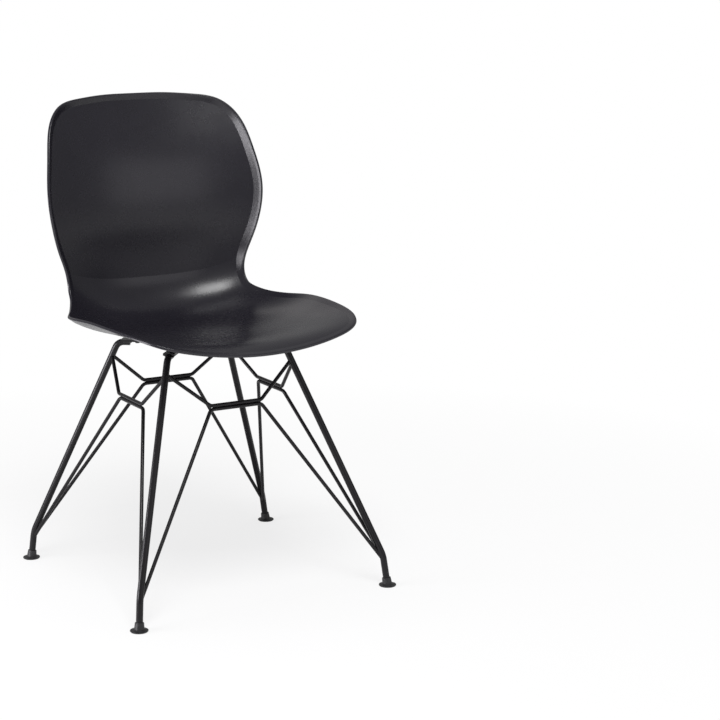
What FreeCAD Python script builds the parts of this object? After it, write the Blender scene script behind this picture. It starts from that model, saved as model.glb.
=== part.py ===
import FreeCAD, Part

import math
import os

from FreeCAD import Vector

# A side chair: one moulded plastic shell on a welded frame of round steel rods.
# Millimetres. +Z is up, the sitter faces -Y and the sitter's left is +X.
# The origin lies on the floor under the middle of the chair's bounding box.

# Height of the shell's front edge over the floor, and the full width of the shell
seat_height = 443.5
shell_width = 461.0

# Shell wall and the line down its middle: y, and height over the front edge
wall = 5.0
profile = [
    (-271.5, 0.0),
    (-231.5, 12.5),
    (-190.0, 13.5),
    (-107.5, 6.0),
    (-24.5, 1.5),
    (58.5, -5.0),
    (100.0, -8.5),
    (141.5, -7.0),
    (180.0, 8.0),
    (207.0, 39.0),
    (219.5, 79.0),
    (222.5, 120.5),
    (220.5, 162.0),
    (220.5, 203.5),
    (225.0, 245.0),
    (234.0, 285.5),
    (247.0, 325.0),
    (261.5, 364.0),
    (279.0, 413.0),
]
bend_point = 7.5

# Shell outline: distance along the middle line from the bend, share of the half width there
outline = [
    (-425.5, 0.000),
    (-422.0, 0.323),
    (-410.5, 0.614),
    (-388.5, 0.822),
    (-332.0, 0.935),
    (-268.0, 0.974),
    (-200.0, 0.998),
    (-133.0, 1.000),
    (-66.0, 0.881),
    (-19.5, 0.811),
    (19.0, 0.779),
    (57.5, 0.768),
    (102.5, 0.770),
    (170.5, 0.850),
    (253.5, 0.922),
    (313.5, 0.883),
    (369.5, 0.816),
    (408.5, 0.681),
    (423.0, 0.492),
    (431.0, 0.262),
    (433.0, 0.000),
]

# Shell cross-section: how far the sides rise, as a square and a fourth-power part
dish_half_width = 0.5 * shell_width + 9.5
dish = [
    (-440.0, 37.0, -20.5),
    (-310.0, 24.5, 17.5),
    (-205.0, 14.0, 33.5),
    (-100.0, 16.0, 40.0),
    (-20.0, 44.0, 58.5),
    (62.0, 58.5, 52.0),
    (156.0, 54.5, 31.0),
    (260.0, 58.5, 12.5),
    (364.0, 66.0, 4.0),
    (450.0, 72.5, -3.5),
]

# Shell rim: a plain rounded lip on the seat that turns forward round the backrest
rim_width = 9.0
rim_forward = 8.4
rim_start = 52.0
rim_full = 146.0
edge_turns = (90.0, 45.0, 0.0, -45.0, -90.0)

# Where the four-sided patches of the shell have their corners, and the point counts
seat_corner = -398.0
back_corner_station = 400.0
seat_rows = 21
back_rows = 17
half_columns = 9
middle_rows = 29
middle_columns = 13
halvings = 50

# Crease that closes the back panel at its foot, and how far the panel stands forward
crease_top = 152.0
crease_height = 60.0
crease_half_width = 0.5 * shell_width - 44.5
crease_power = 3
panel_rise = 3.2

# Bosses under the seat and their fasteners
boss_diameter = 20.0
boss_root_diameter = 28.0
boss_root_height = 6.0
insert_diameter = 9.0
insert_length = 8.0
insert_clearance = 0.1
insert_spare = 1.5
screw_diameter = 6.0
screw_length = 12.0
screw_head_diameter = 11.0
screw_head_height = 3.3
screw_socket_width = 4.0
screw_socket_depth = 2.0
screw_clearance = 0.15
screw_hole_clearance = 0.3

# Frame rods: where a leg stands, the slight knee above the foot and the bend under the seat
leg_diameter = 12.0
wire_diameter = 6.5
joint_clearance = 0.1
front_foot = (242.0, -255.5)
front_knee_shift = (-5.5, 6.5)
front_knee_height = 55.0
front_corner = (113.5, -111.5)
front_corner_drop = 16.5
back_foot = (246.5, 219.5)
back_knee_shift = (-7.0, 0.5)
back_knee_height = 51.5
back_corner = (108.0, 111.5)
back_corner_drop = 27.5
knee_radius = 60.0
corner_radius = 17.0
rod_end_run = 22.0
wire_bend_radius = 11.0

# Wire arches: where the upper wire leaves its legs, below the leg's bend
upper_front_drop = 26.0
upper_back_drop = 25.0
upper_side_drops = (31.0, 25.0)

# Where the lower wire leaves them, above the floor
lower_front_height = 46.0
lower_back_height = 41.0
lower_side_heights = (50.0, 38.0)

# Flat middle of each pair of wires: half its length, its y, and its drop below the seat height
front_flat = (49.0, -145.0, 105.5)
back_flat = (49.0, 133.5, 113.0)

# On the sides: distance from the middle plane, drop, and both ends of each wire's flat
side_flat_x = 138.5
side_flat_drop = 110.0
upper_side_flat = (-55.0, 43.0)
lower_side_flat = (-61.0, 37.5)

# Mounting plates welded on the leg tops
plate_width = 21.0
plate_thickness = 4.0
plate_start = 7.0
plate_end = 52.0
plate_hole_run = 36.0
plate_corner_radius = 5.0
weld_start = 10.0
weld_length = 14.0
weld_leg = 4.5

# Feet
foot_disc_diameter = 31.0
foot_disc_thickness = 2.4
foot_dish_height = 4.5
foot_dish_sag = 0.5
foot_sleeve_height = 15.0
foot_sleeve_top_diameter = 15.5
foot_sleeve_root_diameter = 18.0
foot_floor = 3.5


def spline(points, parameters):
    curve = Part.BSplineCurve()
    curve.interpolate(Points=points, Parameters=parameters)
    return curve


def surface_through(grid, along, across):
    rows = [spline(row, across) for row in grid]
    columns = [spline(list(column), along) for column in zip(*[row.getPoles() for row in rows])]
    poles = [list(line) for line in zip(*[column.getPoles() for column in columns])]
    surface = Part.BSplineSurface()
    surface.buildFromPolesMultsKnots(
        poles,
        columns[0].getMultiplicities(),
        rows[0].getMultiplicities(),
        columns[0].getKnots(),
        rows[0].getKnots(),
        False,
        False,
        columns[0].Degree,
        rows[0].Degree,
    )
    return surface


def spread(first, last, count):
    return [first + (last - first) * i / (count - 1) for i in range(count)]


def smooth_step(value):
    value = min(1.0, max(0.0, value))
    return value * value * (3.0 - 2.0 * value)


# Middle surface of the shell over (station, x)
def middle_line():
    points = [Vector(0.0, y, seat_height + rise) for y, rise in profile]
    lengths = [0.0]
    for first, second in zip(points, points[1:]):
        lengths.append(lengths[-1] + first.distanceToPoint(second))
    whole = int(bend_point)
    bend = lengths[whole] + (bend_point - whole) * (lengths[whole + 1] - lengths[whole])
    return spline(points, [length - bend for length in lengths])


def line_normal(line, station):
    forward = line.tangent(station)[0]
    return Vector(0.0, -forward.z, forward.y)


def middle_surface(centre):
    stations = [station for station, rise, roll in dish]
    rises = spline([Vector(station, rise, roll) for station, rise, roll in dish], stations)
    along = spread(centre.FirstParameter, centre.LastParameter, middle_rows)
    across = spread(-dish_half_width, dish_half_width, middle_columns)
    grid = []
    for station in along:
        start = centre.value(station)
        normal = line_normal(centre, station)
        shares = rises.value(min(max(station, stations[0]), stations[-1]))
        row = []
        for x in across:
            share = x / dish_half_width
            height = shares.y * share ** 2 + shares.z * share ** 4
            row.append(start + Vector(x, 0.0, 0.0) + normal * height)
        grid.append(row)
    return surface_through(grid, along, across)


def sitter_side(surface, station, x):
    return surface.normal(station, x) * -1.0


# How far a place lies inside the crease round the back panel, zero on the crease
def panel_share(station, x):
    side = (abs(x) / crease_half_width) ** crease_power
    foot = (max(0.0, crease_top - station) / crease_height) ** crease_power
    return 1.0 - side - foot


def crease_station(x):
    side = (abs(x) / crease_half_width) ** crease_power
    return crease_top - crease_height * (1.0 - side) ** (1.0 / crease_power)


def shell_point(middle, station, x, level, on_panel):
    if on_panel:
        level += panel_rise * panel_share(station, x)
    return middle.value(station, x) + sitter_side(middle, station, x) * level


def patch(middle, low, high, left, right, level, on_panel):
    rows = len(left)
    columns = len(low)
    grid = []
    for i in range(rows):
        v = i / (rows - 1)
        row = []
        for j in range(columns):
            u = j / (columns - 1)
            ends = (low[0] * (1.0 - u) + low[-1] * u) * (1.0 - v) + (high[0] * (1.0 - u) + high[-1] * u) * v
            place = low[j] * (1.0 - v) + high[j] * v + left[i] * (1.0 - u) + right[i] * u - ends
            row.append(shell_point(middle, place.x, place.y, level, on_panel))
        grid.append(row)
    length = grid[0][0].distanceToPoint(grid[-1][0])
    width = grid[0][0].distanceToPoint(grid[0][-1])
    return surface_through(grid, spread(0.0, length, rows), spread(0.0, width, columns)).toShape()


# Right half of the rim outline in the plane of (station, x); the left half mirrors it
class Rim:
    def __init__(self):
        places = [Vector(station, 0.5 * shell_width * share, 0.0) for station, share in outline]
        lengths = [0.0]
        for first, second in zip(places, places[1:]):
            lengths.append(lengths[-1] + first.distanceToPoint(second))
        self.half_length = lengths[-1]
        self.curve = Part.BSplineCurve()
        self.curve.interpolate(
            Points=places,
            Parameters=lengths,
            InitialTangent=Vector(0.0, 1.0, 0.0),
            FinalTangent=Vector(0.0, -1.0, 0.0),
        )

    def at(self, run):
        return self.curve.value(run)

    def outward(self, run):
        forward = self.curve.tangent(run)[0]
        return Vector(-forward.y, forward.x, 0.0)

    def inset(self, run):
        return self.at(run) - self.outward(run) * rim_width

    def crease_run(self):
        low = self.run_at(crease_top - crease_height)
        high = self.run_at(crease_top)
        for step in range(halvings):
            half = 0.5 * (low + high)
            place = self.inset(half)
            if panel_share(place.x, place.y) > 0.0:
                high = half
            else:
                low = half
        return high

    def run_at(self, station):
        low = 0.0
        high = self.half_length
        for step in range(halvings):
            half = 0.5 * (low + high)
            if self.at(half).x < station:
                low = half
            else:
                high = half
        return high


# Cross-sections of the rim: from the sitter's face over the rounded edge to the rear face
def rim_sections(middle, line, rim, runs, on_panel):
    half = 0.5 * wall
    sections = []
    for run in runs:
        place = rim.inset(run)
        edge = rim.at(run)
        normal = sitter_side(middle, place.x, place.y)
        root = shell_point(middle, place.x, place.y, 0.0, on_panel)
        weight = smooth_step((place.x - rim_start) / (rim_full - rim_start))
        tip = middle.value(edge.x, edge.y) + line_normal(line, edge.x) * (rim_forward * weight)
        band = (tip - root).normalize()
        face = (normal - band * normal.dot(band)).normalize()
        section = [shell_point(middle, place.x, place.y, half, on_panel)]
        for turn in edge_turns:
            lift = math.radians(turn)
            section.append(tip + band * (half * math.cos(lift)) + face * (half * math.sin(lift)))
        section.append(shell_point(middle, place.x, place.y, -half, on_panel))
        sections.append(section)
    return sections


def rim_faces(middle, line, rim, runs, on_panel, across_middle):
    sections = rim_sections(middle, line, rim, runs, on_panel)
    if across_middle:
        left = [[Vector(-p.x, p.y, p.z) for p in section] for section in reversed(sections[1:])]
        sections = left + sections
    lines = list(zip(*sections))
    faces = []
    for first, second in zip(lines, lines[1:]):
        strip = [list(pair) for pair in zip(first, second)]
        length = first[0].distanceToPoint(first[-1])
        width = first[0].distanceToPoint(second[0])
        faces.append(surface_through(strip, spread(0.0, length, len(strip)), [0.0, width]).toShape())
    return faces


def mirrored(places):
    return [Vector(place.x, -place.y, 0.0) for place in places]


def both_halves(places):
    return mirrored(reversed(places[1:])) + places


def shell_faces():
    line = middle_line()
    middle = middle_surface(line)
    rim = Rim()
    fold = rim.crease_run()
    front_runs = spread(0.0, rim.run_at(seat_corner), half_columns)
    seat_runs = spread(front_runs[-1], fold, seat_rows)
    back_runs = spread(fold, rim.run_at(back_corner_station), back_rows)
    top_runs = spread(rim.half_length, back_runs[-1], half_columns)
    seat_side = [rim.inset(run) for run in seat_runs]
    back_side = [rim.inset(run) for run in back_runs]
    front_edge = both_halves([rim.inset(run) for run in front_runs])
    top_edge = both_halves([rim.inset(run) for run in top_runs])
    reach = seat_side[-1].y
    crease = both_halves([Vector(crease_station(x), x, 0.0) for x in spread(0.0, reach, half_columns)])
    faces = rim_faces(middle, line, rim, front_runs, False, True)
    faces += rim_faces(middle, line, rim, top_runs, True, True)
    sides = rim_faces(middle, line, rim, seat_runs, False, False)
    sides += rim_faces(middle, line, rim, back_runs, True, False)
    faces += sides + [face.mirror(Vector(), Vector(1.0, 0.0, 0.0)) for face in sides]
    for level in (0.5 * wall, -0.5 * wall):
        faces.append(patch(middle, front_edge, crease, mirrored(seat_side), seat_side, level, False))
        faces.append(patch(middle, crease, top_edge, mirrored(back_side), back_side, level, True))
    return middle, faces


def closed_solid(faces):
    skin = Part.makeCompound(faces)
    skin.sewShape()
    solid = Part.Solid(skin.Shells[0])
    if solid.Volume < 0.0:
        solid = Part.Solid(skin.Shells[0].reversed())
    return solid


def middle_height(middle, x, y):
    low = middle.bounds()[0]
    high = 0.0
    for step in range(halvings):
        half = 0.5 * (low + high)
        if middle.value(half, x).y < y:
            low = half
        else:
            high = half
    return middle.value(high, x).z


# Frame
def leg_axis(foot, knee_shift, knee_height, corner, drop, side):
    return [
        Vector(side * foot[0], foot[1], 0.0),
        Vector(side * (foot[0] + knee_shift[0]), foot[1] + knee_shift[1], knee_height),
        Vector(side * corner[0], corner[1], seat_height - drop),
    ]


def leg_axes():
    axes = {}
    for name, side in (("left", 1.0), ("right", -1.0)):
        axes["front_" + name] = leg_axis(
            front_foot, front_knee_shift, front_knee_height, front_corner, front_corner_drop, side
        )
        axes["back_" + name] = leg_axis(
            back_foot, back_knee_shift, back_knee_height, back_corner, back_corner_drop, side
        )
    return axes


def plate_top(axis):
    return axis[2].z + 0.5 * leg_diameter


def inward_direction(axis):
    direction = axis[2] - axis[0]
    direction.z = 0.0
    return direction.normalize()


def on_leg(axis, height):
    first, second = (axis[0], axis[1]) if height < axis[1].z else (axis[1], axis[2])
    share = (height - first.z) / (second.z - first.z)
    return first + (second - first) * share


def bent_line(points, radii):
    pieces = []
    start = points[0]
    for index in range(1, len(points) - 1):
        corner = points[index]
        back = (points[index - 1] - corner).normalize()
        ahead = (points[index + 1] - corner).normalize()
        half_angle = 0.5 * back.getAngle(ahead)
        reach = radii[index - 1] / math.tan(half_angle)
        first = corner + back * reach
        last = corner + ahead * reach
        middle = (back + ahead).normalize()
        crown = corner + middle * (radii[index - 1] / math.sin(half_angle) - radii[index - 1])
        pieces.append(Part.LineSegment(start, first).toShape())
        pieces.append(Part.Arc(first, crown, last).toShape())
        start = last
    pieces.append(Part.LineSegment(start, points[-1]).toShape())
    return Part.Wire(pieces)


def rod(points, radii, diameter):
    path = bent_line(points, radii)
    direction = (points[1] - points[0]).normalize()
    circle = Part.makeCircle(0.5 * diameter, points[0], direction)
    return path.makePipe(Part.Face(Part.Wire(circle)))


def leg_points(axis):
    lower = (axis[1] - axis[0]).normalize()
    start = axis[0] + lower * (foot_floor / lower.z)
    end = axis[2] + inward_direction(axis) * rod_end_run
    return [start, axis[1], axis[2], end]


def leg_rod(axis, diameter):
    return rod(leg_points(axis), [knee_radius, corner_radius], diameter)


def wire_arch(ends, flat, diameter):
    return rod([ends[0], flat[0], flat[1], ends[1]], [wire_bend_radius] * 2, diameter)


def fitted(shape, neighbours):
    for neighbour in neighbours:
        shape = shape.cut(neighbour)
    return largest(shape)


def largest(shape):
    return max(shape.Solids, key=lambda solid: solid.Volume)


def along_run(shape, start, run, height):
    turn = math.degrees(math.atan2(run.y, run.x))
    shape.rotate(Vector(), Vector(0.0, 0.0, 1.0), turn)
    shape.translate(Vector(start.x, start.y, height))
    return shape


# Fillet weld in the corner between the plate's underside and the side of the rod
def weld_bead(side):
    inner = 0.5 * leg_diameter - 0.25 * plate_thickness
    outer = 0.5 * leg_diameter + weld_leg
    under = -plate_thickness
    section = [
        Vector(weld_start, side * inner, 0.5 * under),
        Vector(weld_start, side * outer, 0.5 * under),
        Vector(weld_start, side * outer, under),
        Vector(weld_start, side * inner, under - weld_leg),
        Vector(weld_start, side * inner, 0.5 * under),
    ]
    return Part.Face(Part.makePolygon(section)).extrude(Vector(weld_length, 0.0, 0.0))


def mounting_plate(axis, clear_leg):
    low_corner = Vector(plate_start, -0.5 * plate_width, -plate_thickness)
    plate = Part.makeBox(plate_end - plate_start, plate_width, plate_thickness, low_corner)
    upright = [edge for edge in plate.Edges if edge.BoundBox.ZLength > 0.5 * plate_thickness]
    outer = [edge for edge in upright if edge.BoundBox.XMax > 0.5 * plate_end]
    plate = plate.makeFillet(plate_corner_radius, outer)
    for side in (-1.0, 1.0):
        plate = plate.fuse(weld_bead(side))
    hole_start = Vector(plate_hole_run, 0.0, -plate_thickness)
    hole_radius = 0.5 * screw_diameter + screw_hole_clearance
    plate = plate.cut(Part.makeCylinder(hole_radius, plate_thickness, hole_start))
    plate = along_run(plate, axis[2], inward_direction(axis), plate_top(axis))
    return largest(plate.cut(clear_leg))


def hole_centre(axis):
    centre = axis[2] + inward_direction(axis) * plate_hole_run
    return Vector(centre.x, centre.y, plate_top(axis))


def foot_cap(axis, clear_leg):
    base = axis[0]
    radius = 0.5 * foot_disc_diameter
    root = 0.5 * foot_sleeve_root_diameter
    lip = 0.5 * foot_disc_thickness
    section = [
        Vector(0.0, 0.0, 0.0),
        Vector(radius - lip, 0.0, 0.0),
        Vector(radius, 0.0, lip),
        Vector(radius, 0.0, foot_disc_thickness),
        Vector(0.5 * (radius + root), 0.0, foot_disc_thickness + foot_dish_sag),
        Vector(root, 0.0, foot_dish_height),
        Vector(0.0, 0.0, foot_dish_height),
        Vector(0.0, 0.0, 0.0),
    ]
    disc = Part.Face(Part.makePolygon(section)).revolve(Vector(), Vector(0.0, 0.0, 1.0), 360.0)
    disc.translate(base)
    lower = (axis[1] - axis[0]).normalize()
    start = base + lower * (0.5 * foot_dish_height)
    height = foot_sleeve_height - 0.5 * foot_dish_height
    sleeve = Part.makeCone(root, 0.5 * foot_sleeve_top_diameter, height, start, lower)
    return disc.fuse(sleeve).cut(clear_leg).removeSplitter()


def insert(seat):
    outer = Part.makeCylinder(0.5 * insert_diameter, insert_length, seat)
    return outer.cut(Part.makeCylinder(0.5 * screw_diameter + screw_clearance, insert_length, seat))


def screw(seat):
    base = seat - Vector(0.0, 0.0, plate_thickness)
    shank = Part.makeCylinder(0.5 * screw_diameter, screw_length, base)
    head_base = base - Vector(0.0, 0.0, screw_head_height)
    lower = 0.5 * screw_head_diameter - 0.5 * screw_head_height
    head = Part.makeCone(lower, 0.5 * screw_head_diameter, screw_head_height, head_base)
    reach = 0.5 * screw_socket_width / math.cos(math.pi / 6.0)
    turns = [turn * math.pi / 3.0 for turn in range(7)]
    corners = [head_base + Vector(reach * math.cos(t), reach * math.sin(t), 0.0) for t in turns]
    socket = Part.Face(Part.makePolygon(corners)).extrude(Vector(0.0, 0.0, screw_socket_depth))
    return shank.fuse(head).cut(socket).removeSplitter()


def with_bosses(shell, middle, seats):
    for seat in seats:
        roof = middle_height(middle, seat.x, seat.y)
        boss = Part.makeCylinder(0.5 * boss_diameter, roof - seat.z, seat)
        root_base = Vector(seat.x, seat.y, roof - boss_root_height)
        root = Part.makeCone(0.5 * boss_diameter, 0.5 * boss_root_diameter, boss_root_height, root_base)
        shell = shell.fuse(boss.fuse(root))
    for seat in seats:
        radius = 0.5 * insert_diameter + insert_clearance
        shell = shell.cut(Part.makeCylinder(radius, insert_length + insert_spare, seat))
    return shell


# Ends and flat middle of each wire, by the node's name
def cross_wire_lines(axes, end, upper_height, lower_height, flat_middle):
    half_length, y, drop = flat_middle
    lift = 0.5 * (wire_diameter + joint_clearance)
    lines = {}
    for level, height, sign in (("upper", upper_height, 1.0), ("lower", lower_height, -1.0)):
        z = seat_height - drop + sign * lift
        ends = [on_leg(axes[end + "_right"], height), on_leg(axes[end + "_left"], height)]
        flat = [Vector(-half_length, y, z), Vector(half_length, y, z)]
        lines[level + "_wire_" + end] = (ends, flat)
    return lines


def side_wire_lines(axes, name, side):
    lift = 0.5 * (wire_diameter + joint_clearance)
    legs = [axes["front_" + name], axes["back_" + name]]
    upper_heights = [leg[2].z - drop for leg, drop in zip(legs, upper_side_drops)]
    lines = {}
    for level, heights, run, sign in (
        ("upper", upper_heights, upper_side_flat, 1.0),
        ("lower", lower_side_heights, lower_side_flat, -1.0),
    ):
        z = seat_height - side_flat_drop + sign * lift
        ends = [on_leg(leg, height) for leg, height in zip(legs, heights)]
        flat = [Vector(side * side_flat_x, y, z) for y in run]
        lines[level + "_wire_" + name] = (ends, flat)
    return lines


# The wires end on the legs, and those of the sides also stop short of the ones they meet there
def wires(axes, clear_legs):
    upper_front = axes["front_left"][2].z - upper_front_drop
    upper_back = axes["back_left"][2].z - upper_back_drop
    across = cross_wire_lines(axes, "front", upper_front, lower_front_height, front_flat)
    across.update(cross_wire_lines(axes, "back", upper_back, lower_back_height, back_flat))
    sides = side_wire_lines(axes, "left", 1.0)
    sides.update(side_wire_lines(axes, "right", -1.0))
    clear_diameter = wire_diameter + 2.0 * joint_clearance
    clear_wires = [wire_arch(ends, flat, clear_diameter) for ends, flat in across.values()]
    parts = {}
    for name, (ends, flat) in across.items():
        parts[name] = [fitted(wire_arch(ends, flat, wire_diameter), clear_legs)]
    for name, (ends, flat) in sides.items():
        parts[name] = [fitted(wire_arch(ends, flat, wire_diameter), clear_legs + clear_wires)]
    return parts


def base_parts(axes):
    parts = {}
    clear_legs = []
    for name, axis in axes.items():
        clear_leg = leg_rod(axis, leg_diameter + 2.0 * joint_clearance)
        clear_legs.append(clear_leg)
        parts["leg_" + name] = [leg_rod(axis, leg_diameter)]
        parts["mount_plate_" + name] = [mounting_plate(axis, clear_leg)]
        parts["foot_" + name] = [foot_cap(axis, clear_leg)]
    parts.update(wires(axes, clear_legs))
    return parts


def build_parts():
    axes = leg_axes()
    seats = [hole_centre(axis) for axis in axes.values()]
    middle, faces = shell_faces()
    parts = {"seat_shell": [with_bosses(closed_solid(faces), middle, seats)]}
    parts["threaded_inserts"] = [insert(seat) for seat in seats]
    parts["mounting_screws"] = [screw(seat) for seat in seats]
    parts.update(base_parts(axes))
    return parts


def main():
    os.makedirs("parts", exist_ok=True)
    for name, solids in build_parts().items():
        shape = Part.makeCompound(solids) if len(solids) > 1 else solids[0]
        shape.exportStep("parts/" + name + ".step")
        print(name, len(shape.Solids), "valid" if shape.isValid() else "not valid")


main()
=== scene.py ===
import math

import bmesh
import bpy
import numpy as np
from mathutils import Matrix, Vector


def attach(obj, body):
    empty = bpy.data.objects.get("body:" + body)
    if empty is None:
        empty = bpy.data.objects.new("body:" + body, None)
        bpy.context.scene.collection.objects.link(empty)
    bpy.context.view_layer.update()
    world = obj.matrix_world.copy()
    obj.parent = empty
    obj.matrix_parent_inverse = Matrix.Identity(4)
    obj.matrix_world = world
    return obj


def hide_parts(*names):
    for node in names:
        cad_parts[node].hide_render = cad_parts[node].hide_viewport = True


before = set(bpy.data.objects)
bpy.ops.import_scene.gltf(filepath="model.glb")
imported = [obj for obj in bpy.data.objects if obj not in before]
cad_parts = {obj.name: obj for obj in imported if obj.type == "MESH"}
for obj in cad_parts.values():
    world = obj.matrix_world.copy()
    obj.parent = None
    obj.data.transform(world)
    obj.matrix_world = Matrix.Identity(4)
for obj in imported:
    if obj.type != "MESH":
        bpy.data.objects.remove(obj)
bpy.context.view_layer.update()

MILLIMETRE = 0.001

# Shell form in metres, with the same line, outline, dish, rim and crease as the part's source
SEAT_HEIGHT = 0.4435
SHELL_WIDTH = 0.461
WALL = 0.005

# Middle line from the front edge to the top: place from front to back, rise over the seat's height
PROFILE = np.array([
    (-271.5, 0.0), (-231.5, 12.5), (-190.0, 13.5), (-107.5, 6.0), (-24.5, 1.5),
    (58.5, -5.0), (100.0, -8.5), (141.5, -7.0), (180.0, 8.0), (207.0, 39.0),
    (219.5, 79.0), (222.5, 120.5), (220.5, 162.0), (220.5, 203.5), (225.0, 245.0),
    (234.0, 285.5), (247.0, 325.0), (261.5, 364.0), (279.0, 413.0),
]) * MILLIMETRE

# Stations are lengths along the middle line from the bend, half-way between these two of its points
BEND_POINTS = (7, 8)

# Right half of the rim from front to top: station, share of half the width
OUTLINE = np.array([
    (-425.5, 0.000), (-422.0, 0.323), (-410.5, 0.614), (-388.5, 0.822), (-332.0, 0.935),
    (-268.0, 0.974), (-200.0, 0.998), (-133.0, 1.000), (-66.0, 0.881), (-19.5, 0.811),
    (19.0, 0.779), (57.5, 0.768), (102.5, 0.770), (170.5, 0.850), (253.5, 0.922),
    (313.5, 0.883), (369.5, 0.816), (408.5, 0.681), (423.0, 0.492), (431.0, 0.262),
    (433.0, 0.000),
]) * (MILLIMETRE, 0.5 * SHELL_WIDTH)

# Rise of the sides over the middle line: station, part that grows with the square, with the fourth power
DISH = np.array([
    (-440.0, 37.0, -20.5), (-310.0, 24.5, 17.5), (-205.0, 14.0, 33.5), (-100.0, 16.0, 40.0),
    (-20.0, 44.0, 58.5), (62.0, 58.5, 52.0), (156.0, 54.5, 31.0), (260.0, 58.5, 12.5),
    (364.0, 66.0, 4.0), (450.0, 72.5, -3.5),
]) * MILLIMETRE
DISH_HALF = 0.5 * SHELL_WIDTH + 0.0095

# Rim band: it turns forward round the back, from the first of two stations to the second
RIM_WIDTH = 0.009
RIM_FORWARD = 0.0084
RIM_START, RIM_FULL = 0.052, 0.146

# Drawn only here: the thin lip round the seat and the two small rounds of the edge
SEAT_LIP = 0.0013
UPPER_ROUND = 0.0014
LOWER_ROUND = 0.0011

# Crease over the lumbar bowl, and how far the back panel stands forward in its middle
CREASE_TOP, CREASE_HEIGHT, CREASE_POWER = 0.152, 0.060, 3
CREASE_HALF = 0.5 * SHELL_WIDTH - 0.0445
PANEL_RISE = 0.0032

# Mesh of the shell: the stations where its grids have corners, and their counts of rows and columns
SEAT_CORNER, BACK_CORNER = -0.398, 0.400
HALF_COLUMNS = 25
SEAT_ROWS = 73
BACK_ROWS = 61
BAND_ROWS = 3
EDGE_TURNS = 5
MIRROR = np.array([1.0, -1.0])
SAME_POINT_DIGITS = 7
NORMAL_STEP = 0.0001
HALVINGS = 60

# Bosses under the seat, round the inserts
BOSS_RADIUS, BOSS_ROOT_RADIUS, BOSS_ROOT_HEIGHT = 0.010, 0.014, 0.006
BOSS_BREAK = 0.0005
BORE_CLEARANCE, BORE_SPARE, BORE_TIP = 0.0001, 0.0015, 0.0005
FLARE_ROWS = 7
RING_SIDES = 48
QUARTERS = 4


class Spline:
    """Cubic spline through points, with straight ends or with given slopes at its ends."""

    def __init__(self, places, points, first=None, last=None):
        self.places = np.asarray(places, float)
        self.points = np.asarray(points, float)
        self.spans = np.diff(self.places)
        count = len(self.places)
        slopes = np.diff(self.points, axis=0) / self.spans[:, None]
        system = np.zeros((count, count))
        changes = np.zeros((count, self.points.shape[1]))
        for i in range(1, count - 1):
            before, after = self.spans[i - 1], self.spans[i]
            system[i, i - 1:i + 2] = before, 2 * (before + after), after
            changes[i] = 6 * (slopes[i] - slopes[i - 1])
        if first is None:
            system[0, 0] = 1
            system[-1, -1] = 1
        else:
            system[0, :2] = 2 * self.spans[0], self.spans[0]
            changes[0] = 6 * (slopes[0] - np.asarray(first))
            system[-1, -2:] = self.spans[-1], 2 * self.spans[-1]
            changes[-1] = 6 * (np.asarray(last) - slopes[-1])
        self.bends = np.linalg.solve(system, changes)

    def locate(self, place):
        """Index and length of the span that holds each place, and what of it lies after and before."""
        place = np.asarray(place, float)
        i = np.clip(np.searchsorted(self.places, place) - 1, 0, len(self.spans) - 1)
        after = self.places[i + 1] - place
        before = place - self.places[i]
        return i, self.spans[i][..., None], after[..., None], before[..., None]

    def at(self, place):
        i, span, after, before = self.locate(place)
        start, end = self.bends[i], self.bends[i + 1]
        curve = (start * after ** 3 + end * before ** 3) / (6 * span)
        from_start = (self.points[i] / span - start * span / 6) * after
        from_end = (self.points[i + 1] / span - end * span / 6) * before
        return curve + from_start + from_end

    def direction(self, place):
        i, span, after, before = self.locate(place)
        start, end = self.bends[i], self.bends[i + 1]
        curve = (end * before ** 2 - start * after ** 2) / (2 * span)
        return unit(curve + (self.points[i + 1] - self.points[i]) / span - (end - start) * span / 6)


def unit(vector):
    return vector / np.linalg.norm(vector, axis=-1, keepdims=True)


def chord_lengths(points):
    return np.concatenate([[0.0], np.cumsum(np.linalg.norm(np.diff(points, axis=0), axis=1))])


def smooth_step(share):
    share = np.clip(share, 0.0, 1.0)
    return share * share * (3 - 2 * share)


def make_middle_line():
    stations = chord_lengths(PROFILE)
    before, after = BEND_POINTS
    stations -= stations[before] + 0.5 * (stations[after] - stations[before])
    return Spline(stations, PROFILE + (0.0, SEAT_HEIGHT))


middle_line = make_middle_line()
dish_line = Spline(DISH[:, 0], DISH[:, 1:])
outline_runs = chord_lengths(OUTLINE)
outline_line = Spline(outline_runs, OUTLINE, (0.0, 1.0), (0.0, -1.0))


def line_normal(station):
    along = middle_line.direction(station)
    return np.stack([0 * along[..., 0], -along[..., 1], along[..., 0]], -1)


def middle_point(station, across):
    """Point in the middle of the wall, at a station and a distance across from the middle line."""
    dish = dish_line.at(np.clip(station, DISH[0, 0], DISH[-1, 0]))
    share = across / DISH_HALF
    height = dish[..., 0] * share ** 2 + dish[..., 1] * share ** 4
    level = np.concatenate([(across + 0 * height)[..., None], middle_line.at(station)], -1)
    return level + line_normal(station) * height[..., None]


def sitter_side(station, across):
    """Unit normal of the wall's middle surface, towards the sitter."""
    along = middle_point(station + NORMAL_STEP, across) - middle_point(station - NORMAL_STEP, across)
    sideways = middle_point(station, across + NORMAL_STEP) - middle_point(station, across - NORMAL_STEP)
    return unit(np.cross(sideways, along))


def panel_share(station, across):
    """One in the middle of the back panel, falling to zero at its crease."""
    side = (np.abs(across) / CREASE_HALF) ** CREASE_POWER
    return 1 - side - (np.maximum(0, CREASE_TOP - station) / CREASE_HEIGHT) ** CREASE_POWER


def crease_station(across):
    side = (np.abs(across) / CREASE_HALF) ** CREASE_POWER
    return CREASE_TOP - CREASE_HEIGHT * (1 - side) ** (1 / CREASE_POWER)


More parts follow.
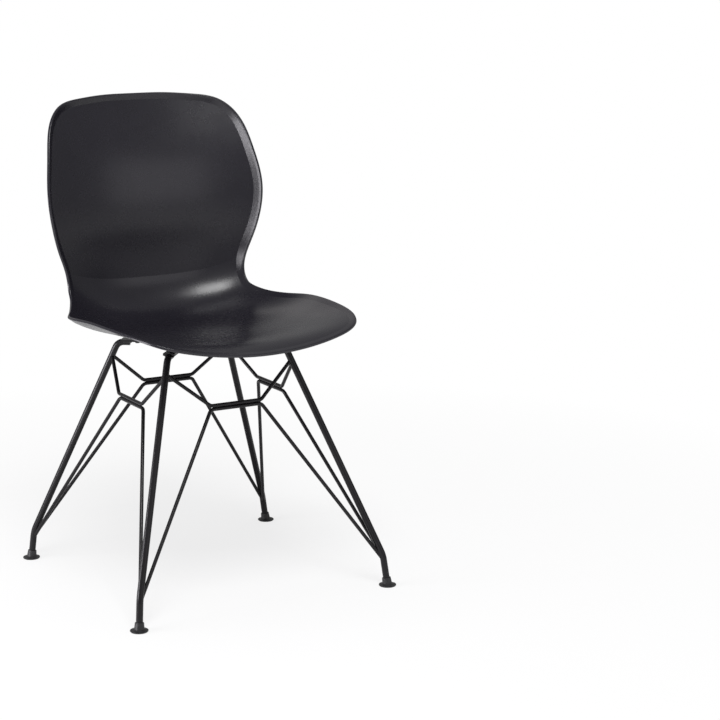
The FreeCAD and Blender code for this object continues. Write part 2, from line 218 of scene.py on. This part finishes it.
def shell_point(station, across, level, on_panel):
    if on_panel:
        level = level + PANEL_RISE * panel_share(station, across)
    return middle_point(station, across) + sitter_side(station, across) * (level + 0 * station)[..., None]


def inset(run):
    """Station and distance across of the rim band's inner border, at a length along the outline."""
    ahead = outline_line.direction(run)
    return outline_line.at(run) - np.stack([-ahead[..., 1], ahead[..., 0]], -1) * RIM_WIDTH


def halved(low, high, is_high):
    """Closes in on the place between low and high from which is_high holds."""
    for _ in range(HALVINGS):
        half = 0.5 * (low + high)
        low, high = (low, half) if is_high(half) else (half, high)
    return high


def run_at(station):
    return halved(0.0, outline_runs[-1], lambda run: outline_line.at(run)[0] > station)


def crease_run():
    low, high = run_at(CREASE_TOP - CREASE_HEIGHT), run_at(CREASE_TOP)
    return halved(low, high, lambda run: panel_share(*inset(run)) > 0)


def rim_sections(run, on_panel):
    """From the sitter's face over the edge to the rear face, at each place along the rim."""
    station, across = inset(run).T
    tip_station, tip_across = outline_line.at(run).T
    weight = smooth_step((station - RIM_START) / (RIM_FULL - RIM_START))
    rise = SEAT_LIP + (RIM_FORWARD - SEAT_LIP) * weight
    tip = middle_point(tip_station, tip_across) + line_normal(tip_station) * rise[:, None]
    band = unit(tip - shell_point(station, across, 0.0, on_panel))
    normal = sitter_side(station, across)
    face = unit(normal - band * np.sum(normal * band, -1, keepdims=True))
    half = WALL / 2
    front = shell_point(station, across, half, on_panel)
    rear = shell_point(station, across, -half, on_panel)
    edge = []
    for side, radius in ((1.0, UPPER_ROUND), (-1.0, LOWER_ROUND)):
        centre = tip + (band + face * side) * (half - radius)
        for turn in np.linspace(0.0, math.pi / 2, EDGE_TURNS)[::-int(side)]:
            outward = band * (radius * math.cos(turn))
            edge.append(centre + outward + face * (side * radius * math.sin(turn)))
    shares = np.arange(BAND_ROWS) / BAND_ROWS
    rows = [front + (edge[0] - front) * share for share in shares] + edge
    rows += [rear + (edge[-1] - rear) * share for share in shares[::-1]]
    return np.stack(rows, 1)


def patch(low, high, left, right):
    """Grid of places between four border rows that share their corners."""
    across = np.linspace(0, 1, len(low))[None, :, None]
    upward = np.linspace(0, 1, len(left))[:, None, None]
    low_corners = low[0] * (1 - across) + low[-1] * across
    high_corners = high[0] * (1 - across) + high[-1] * across
    corners = low_corners * (1 - upward) + high_corners * upward
    between = low[None] * (1 - upward) + high[None] * upward
    return between + left[:, None] * (1 - across) + right[:, None] * across - corners


def both_halves(places):
    """The row of places to the right of the middle, joined to its mirror image."""
    return np.concatenate([(places[1:] * MIRROR)[::-1], places])


class Builder:
    """Collects grids of points into one mesh, in which equal points are one vertex."""

    def __init__(self):
        self.vertices = []
        self.faces = []
        self.index = {}

    def vertex(self, point):
        key = tuple(np.round(point, SAME_POINT_DIGITS))
        if key not in self.index:
            self.index[key] = len(self.vertices)
            self.vertices.append(tuple(float(value) for value in point))
        return self.index[key]

    def grid(self, points):
        rows = [[self.vertex(point) for point in row] for row in points]
        for first, second in zip(rows, rows[1:]):
            for i in range(len(first) - 1):
                quad = list(dict.fromkeys([first[i], first[i + 1], second[i + 1], second[i]]))
                if len(quad) > 2:
                    self.faces.append(quad)
        return rows


def new_object(name, vertices, faces, smooth=True):
    mesh = bpy.data.meshes.new(name)
    mesh.from_pydata(vertices, [], faces)
    work = bmesh.new()
    work.from_mesh(mesh)
    bmesh.ops.recalc_face_normals(work, faces=work.faces)
    work.to_mesh(mesh)
    work.free()
    mesh.polygons.foreach_set("use_smooth", [smooth] * len(mesh.polygons))
    obj = bpy.data.objects.new(name, mesh)
    bpy.context.scene.collection.objects.link(obj)
    return obj


def mark_sharp(obj, lines):
    wanted = {tuple(sorted(pair)) for line in lines for pair in zip(line, line[1:])}
    layer = obj.data.attributes.new("sharp_edge", "BOOLEAN", "EDGE")
    for edge in obj.data.edges:
        layer.data[edge.index].value = tuple(sorted(edge.vertices)) in wanted


def solid_boxes(node):
    """Low and high corner of a node's four solids, one in each quarter of the floor plan."""
    points = np.array([node.matrix_world @ vertex.co for vertex in node.data.vertices])
    quarter = (points[:, 0] > 0) * 2 + (points[:, 1] > 0)
    return [(points[quarter == q].min(0), points[quarter == q].max(0)) for q in range(QUARTERS)]


def roof_height(across, depth):
    """Height of the wall's middle over a point of the floor, in front of the bend."""
    station = halved(DISH[0, 0], 0.0, lambda place: middle_point(place, across)[1] > depth)
    return middle_point(np.float64(station), across)[2]


def ring(centre, radius, height):
    angles = np.linspace(0, 2 * math.pi, RING_SIDES + 1)
    circle = np.stack([np.cos(angles), np.sin(angles), 0 * angles], -1) * radius
    return circle + (centre[0], centre[1], height)


def bosses(builder):
    """Round bosses that hold the inserts, with a flared root in the seat's underside."""
    for low, high in solid_boxes(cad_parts["threaded_inserts"]):
        centre = 0.5 * (low + high)
        bottom = low[2]
        roof = roof_height(centre[0], centre[1])
        bore = 0.5 * (high[0] - low[0]) + BORE_CLEARANCE
        bore_top = high[2] + BORE_SPARE
        section = [(BORE_TIP, bore_top), (bore, bore_top), (bore, bottom)]
        section += [(BOSS_RADIUS - BOSS_BREAK, bottom), (BOSS_RADIUS, bottom + BOSS_BREAK)]
        for share in np.linspace(0, 1, FLARE_ROWS):
            radius = BOSS_RADIUS + (BOSS_ROOT_RADIUS - BOSS_RADIUS) * share
            section.append((radius, roof + BOSS_ROOT_HEIGHT * (share - 1)))
        builder.grid([ring(centre, radius, height) for radius, height in section])


def shell_mesh():
    fold = crease_run()
    front = np.linspace(0, run_at(SEAT_CORNER), HALF_COLUMNS)
    side = np.linspace(front[-1], fold, SEAT_ROWS)
    back = np.linspace(fold, run_at(BACK_CORNER), BACK_ROWS)
    top = np.linspace(outline_runs[-1], back[-1], HALF_COLUMNS)
    seat_side, back_side = inset(side), inset(back)
    across = np.linspace(0, seat_side[-1, 1], HALF_COLUMNS)
    right_crease = np.stack([crease_station(across), across], -1)
    right_crease[-1] = seat_side[-1]
    crease = both_halves(right_crease)
    seat = patch(both_halves(inset(front)), crease, seat_side * MIRROR, seat_side)
    panel = patch(crease, both_halves(inset(top)), back_side * MIRROR, back_side)
    builder = Builder()
    sharp = []
    for level in (WALL / 2, -WALL / 2):
        rows = builder.grid(shell_point(seat[..., 0], seat[..., 1], level, False))
        sharp.append(rows[-1])
        builder.grid(shell_point(panel[..., 0], panel[..., 1], level, True))
    for run, on_panel in ((front, False), (side, False), (back, True), (top, True)):
        sections = rim_sections(run, on_panel)
        for flip in (1.0, -1.0):
            rows = builder.grid(sections * (flip, 1.0, 1.0))
            borders = list(zip(*rows))
            sharp += [borders[0], borders[-1]] if on_panel else [borders[0]]
    bosses(builder)
    obj = new_object("shell_body", builder.vertices, builder.faces)
    mark_sharp(obj, sharp)
    return obj


# Materials: colour, roughness and grain all vary over each piece
TONE_SCALE, TONE_DETAIL, TONE_ROUGHNESS = 9.0, 5.0, 0.6
TONE_LOW, TONE_HIGH = 0.35, 0.65
WEAR_SCALE, WEAR_DETAIL, WEAR_ROUGHNESS = 28.0, 6.0, 0.65
WEAR_LOW, WEAR_HIGH = 0.3, 0.7
WORN_SMOOTHER, WORN_ROUGHER = 0.015, 0.020
GRAIN_DETAIL, GRAIN_STRENGTH = 2.0, 0.35


def new_material(name):
    material = bpy.data.materials.new(name)
    material.use_nodes = True
    tree = material.node_tree
    return material, tree, tree.nodes["Principled BSDF"]


def noise(tree, scale, detail, roughness=0.5):
    node = tree.nodes.new("ShaderNodeTexNoise")
    node.inputs["Scale"].default_value = scale
    node.inputs["Detail"].default_value = detail
    node.inputs["Roughness"].default_value = roughness
    coordinates = tree.nodes.new("ShaderNodeTexCoord")
    tree.links.new(coordinates.outputs["Object"], node.inputs["Vector"])
    return node.outputs["Fac"]


def remap(tree, source, low, high, first, last):
    node = tree.nodes.new("ShaderNodeMapRange")
    node.inputs["From Min"].default_value = low
    node.inputs["From Max"].default_value = high
    node.inputs["To Min"].default_value = first
    node.inputs["To Max"].default_value = last
    tree.links.new(source, node.inputs["Value"])
    return node.outputs["Result"]


def blend_colour(tree, factor, first, second):
    node = tree.nodes.new("ShaderNodeMix")
    node.data_type = "RGBA"
    node.inputs["A"].default_value = (*first, 1.0)
    node.inputs["B"].default_value = (*second, 1.0)
    tree.links.new(factor, node.inputs["Factor"])
    return node.outputs["Result"]


def bump(tree, shader, height, distance, strength):
    node = tree.nodes.new("ShaderNodeBump")
    node.inputs["Distance"].default_value = distance
    node.inputs["Strength"].default_value = strength
    tree.links.new(height, node.inputs["Height"])
    tree.links.new(node.outputs["Normal"], shader.inputs["Normal"])


def surface(name, dark, light, roughness, grain_scale, grain_depth, metallic=0.0, specular=0.5):
    material, tree, shader = new_material(name)
    spots = noise(tree, TONE_SCALE, TONE_DETAIL, TONE_ROUGHNESS)
    tone = remap(tree, spots, TONE_LOW, TONE_HIGH, 0.0, 1.0)
    tree.links.new(blend_colour(tree, tone, dark, light), shader.inputs["Base Color"])
    wear = noise(tree, WEAR_SCALE, WEAR_DETAIL, WEAR_ROUGHNESS)
    worn = remap(tree, wear, WEAR_LOW, WEAR_HIGH, roughness - WORN_SMOOTHER, roughness + WORN_ROUGHER)
    tree.links.new(worn, shader.inputs["Roughness"])
    bump(tree, shader, noise(tree, grain_scale, GRAIN_DETAIL), grain_depth, GRAIN_STRENGTH)
    shader.inputs["Metallic"].default_value = metallic
    shader.inputs["Specular IOR Level"].default_value = specular
    return material


SHELL_PLASTIC = surface(
    "shell_plastic",
    dark=(0.0098, 0.0088, 0.0135),
    light=(0.0120, 0.0109, 0.0160),
    roughness=0.27,
    grain_scale=1400.0,
    grain_depth=0.00005,
)
BLACK_PAINT = surface(
    "black_powder_coat",
    dark=(0.0075, 0.0068, 0.0078),
    light=(0.0105, 0.0096, 0.0108),
    roughness=0.25,
    grain_scale=700.0,
    grain_depth=0.00005,
    specular=0.25,
)
FOOT_PLASTIC = surface(
    "foot_plastic",
    dark=(0.009, 0.009, 0.010),
    light=(0.014, 0.014, 0.015),
    roughness=0.45,
    grain_scale=900.0,
    grain_depth=0.00005,
)
BRASS = surface(
    "brass",
    dark=(0.55, 0.40, 0.17),
    light=(0.72, 0.55, 0.27),
    roughness=0.32,
    grain_scale=900.0,
    grain_depth=0.00004,
    metallic=1.0,
)
SCREW_STEEL = surface(
    "blackened_steel",
    dark=(0.05, 0.05, 0.052),
    light=(0.09, 0.09, 0.092),
    roughness=0.38,
    grain_scale=900.0,
    grain_depth=0.00004,
    metallic=1.0,
)


def dress(obj, material):
    obj.data.materials.clear()
    obj.data.materials.append(material)
    obj.data.polygons.foreach_set("material_index", [0] * len(obj.data.polygons))


def material_of(name):
    if name == "seat_shell":
        return SHELL_PLASTIC
    if name.startswith("foot_"):
        return FOOT_PLASTIC
    return {"threaded_inserts": BRASS, "mounting_screws": SCREW_STEEL}.get(name, BLACK_PAINT)


for node_name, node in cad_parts.items():
    dress(node, material_of(node_name))

shell = shell_mesh()
dress(shell, SHELL_PLASTIC)
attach(shell, "root")
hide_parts("seat_shell")


# Stage: a pale floor that keeps the shadow near the chair and turns plain white away from it
WHITE = (1.0, 1.0, 1.0)
FLOOR_REACH = 60.0
FLOOR_DARK = (0.86, 0.86, 0.86)
FLOOR_LIGHT = (0.87, 0.87, 0.87)
FLOOR_SCALE, FLOOR_DETAIL = 2.0, 3.0
FLOOR_ROUGHNESS = 0.85
FLOOR_SPECULAR = 0.2
WHITE_FROM, WHITE_TO = 0.45, 1.6
WHITE_NEAR_CHAIR = 0.72
WORLD_LIGHT = 0.31


def seen_directly(tree):
    path = tree.nodes.new("ShaderNodeLightPath")
    larger = tree.nodes.new("ShaderNodeMath")
    larger.operation = "MAXIMUM"
    tree.links.new(path.outputs["Is Camera Ray"], larger.inputs[0])
    tree.links.new(path.outputs["Is Transmission Ray"], larger.inputs[1])
    return larger.outputs[0]


def distance_from_middle(tree):
    coordinates = tree.nodes.new("ShaderNodeTexCoord")
    distance = tree.nodes.new("ShaderNodeVectorMath")
    distance.operation = "LENGTH"
    tree.links.new(coordinates.outputs["Object"], distance.inputs[0])
    return distance.outputs["Value"]


def floor_material():
    material, tree, shader = new_material("pale_floor")
    tint = blend_colour(tree, noise(tree, FLOOR_SCALE, FLOOR_DETAIL), FLOOR_DARK, FLOOR_LIGHT)
    tree.links.new(tint, shader.inputs["Base Color"])
    shader.inputs["Roughness"].default_value = FLOOR_ROUGHNESS
    shader.inputs["Specular IOR Level"].default_value = FLOOR_SPECULAR
    white = tree.nodes.new("ShaderNodeEmission")
    white.inputs["Color"].default_value = (*WHITE, 1.0)
    white.inputs["Strength"].default_value = 1.0
    whiteness = remap(tree, distance_from_middle(tree), WHITE_FROM, WHITE_TO, WHITE_NEAR_CHAIR, 1.0)
    share = tree.nodes.new("ShaderNodeMath")
    share.operation = "MULTIPLY"
    tree.links.new(whiteness, share.inputs[0])
    tree.links.new(seen_directly(tree), share.inputs[1])
    mix = tree.nodes.new("ShaderNodeMixShader")
    tree.links.new(share.outputs[0], mix.inputs[0])
    tree.links.new(shader.outputs[0], mix.inputs[1])
    tree.links.new(white.outputs[0], mix.inputs[2])
    tree.links.new(mix.outputs[0], tree.nodes["Material Output"].inputs["Surface"])
    return material


def floor():
    reach = FLOOR_REACH
    corners = [(-reach, -reach, 0), (reach, -reach, 0), (reach, reach, 0), (-reach, reach, 0)]
    obj = new_object("floor", corners, [(0, 1, 2, 3)], smooth=False)
    dress(obj, floor_material())


def white_world():
    """Plain white where it is seen directly, and a weaker white light on everything else."""
    world = bpy.data.worlds.new("studio")
    bpy.context.scene.world = world
    world.use_nodes = True
    tree = world.node_tree
    background = tree.nodes["Background"]
    background.inputs["Color"].default_value = (*WHITE, 1.0)
    strength = remap(tree, seen_directly(tree), 0.0, 1.0, WORLD_LIGHT, 1.0)
    tree.links.new(strength, background.inputs["Strength"])


# Lamps and camera
COOL = (0.97, 0.95, 1.0)
WARM = (1.0, 0.94, 0.93)
SENSOR_WIDTH = 36.0
LENS = 102.65
CLIP_END = 100.0
CAMERA_PLACE = (-1.5699, -3.2564, 1.1552)
CAMERA_HEADING = (0.50483, 0.86322)
CAMERA_TILT = math.radians(11.977)


def aim(obj, place, direction):
    obj.location = place
    obj.rotation_mode = "QUATERNION"
    obj.rotation_quaternion = Vector(direction).to_track_quat("-Z", "Y")
    bpy.context.scene.collection.objects.link(obj)


def lamp(name, size, place, target, power, colour=WHITE):
    data = bpy.data.lights.new(name, "AREA")
    data.shape = "RECTANGLE"
    data.size, data.size_y = size
    data.energy = power
    data.color = colour
    obj = bpy.data.objects.new(name, data)
    aim(obj, place, Vector(target) - Vector(place))
    return obj


def camera():
    data = bpy.data.cameras.new("camera")
    data.sensor_width = SENSOR_WIDTH
    data.lens = LENS
    data.clip_end = CLIP_END
    obj = bpy.data.objects.new("camera", data)
    level = math.cos(CAMERA_TILT)
    direction = (CAMERA_HEADING[0] * level, CAMERA_HEADING[1] * level, -math.sin(CAMERA_TILT))
    aim(obj, CAMERA_PLACE, direction)
    bpy.context.scene.camera = obj


floor()
white_world()
overhead = lamp("overhead", size=(3.0, 3.0), place=(0.2, 0.2, 3.4), target=(0.0, 0.0, 0.4), power=18.0)
overhead.visible_glossy = False
lamp("front", size=(2.5, 2.0), place=(-0.95, -2.55, 4.75), target=(0.1, 0.19, 0.48), power=185.0)
lamp("left", size=(1.8, 0.8), place=(-2.6, 0.3, 0.68), target=(0.2, 0.15, 0.65), power=58.0, colour=COOL)
lamp("fill", size=(2.6, 1.6), place=(1.1, -3.0, 1.3), target=(0.0, 0.2, 0.7), power=10.0, colour=COOL)
lamp("back", size=(2.4, 1.2), place=(0.2, 3.1, 1.7), target=(0.1, 0.0, 0.47), power=2.0, colour=WARM)
camera()
bpy.context.scene.view_settings.view_transform = "Standard"
